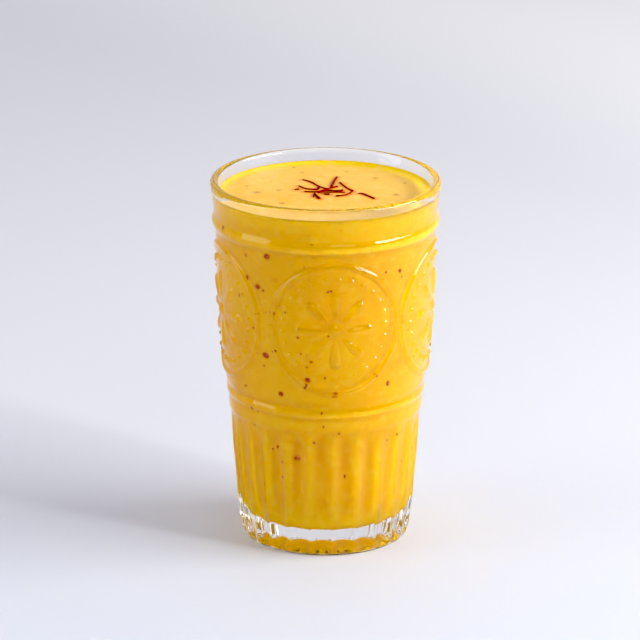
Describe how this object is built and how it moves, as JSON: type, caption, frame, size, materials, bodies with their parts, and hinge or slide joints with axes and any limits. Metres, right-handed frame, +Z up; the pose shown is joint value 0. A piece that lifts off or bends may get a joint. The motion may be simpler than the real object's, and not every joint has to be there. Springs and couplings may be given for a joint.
{
  "type": "mango lassi in a pressed-glass tumbler",
  "caption": "Tall pressed-glass tumbler with round rosette medallions and a fluted foot, filled with mango lassi and topped with saffron threads.",
  "frame": {"origin": "middle of the flat foot ring that the tumbler stands on", "axes": "+Z up along the tumbler's axis, front of the tumbler along -Y"},
  "size_m": [0.0876, 0.0876, 0.141],
  "materials": {
    "glass": "clear polished",
    "lassi": "soft wet sheen"
  },
  "bodies": {
    "root": {"glass": "glass", "lassi": "lassi"}
  },
  "joints": []
}
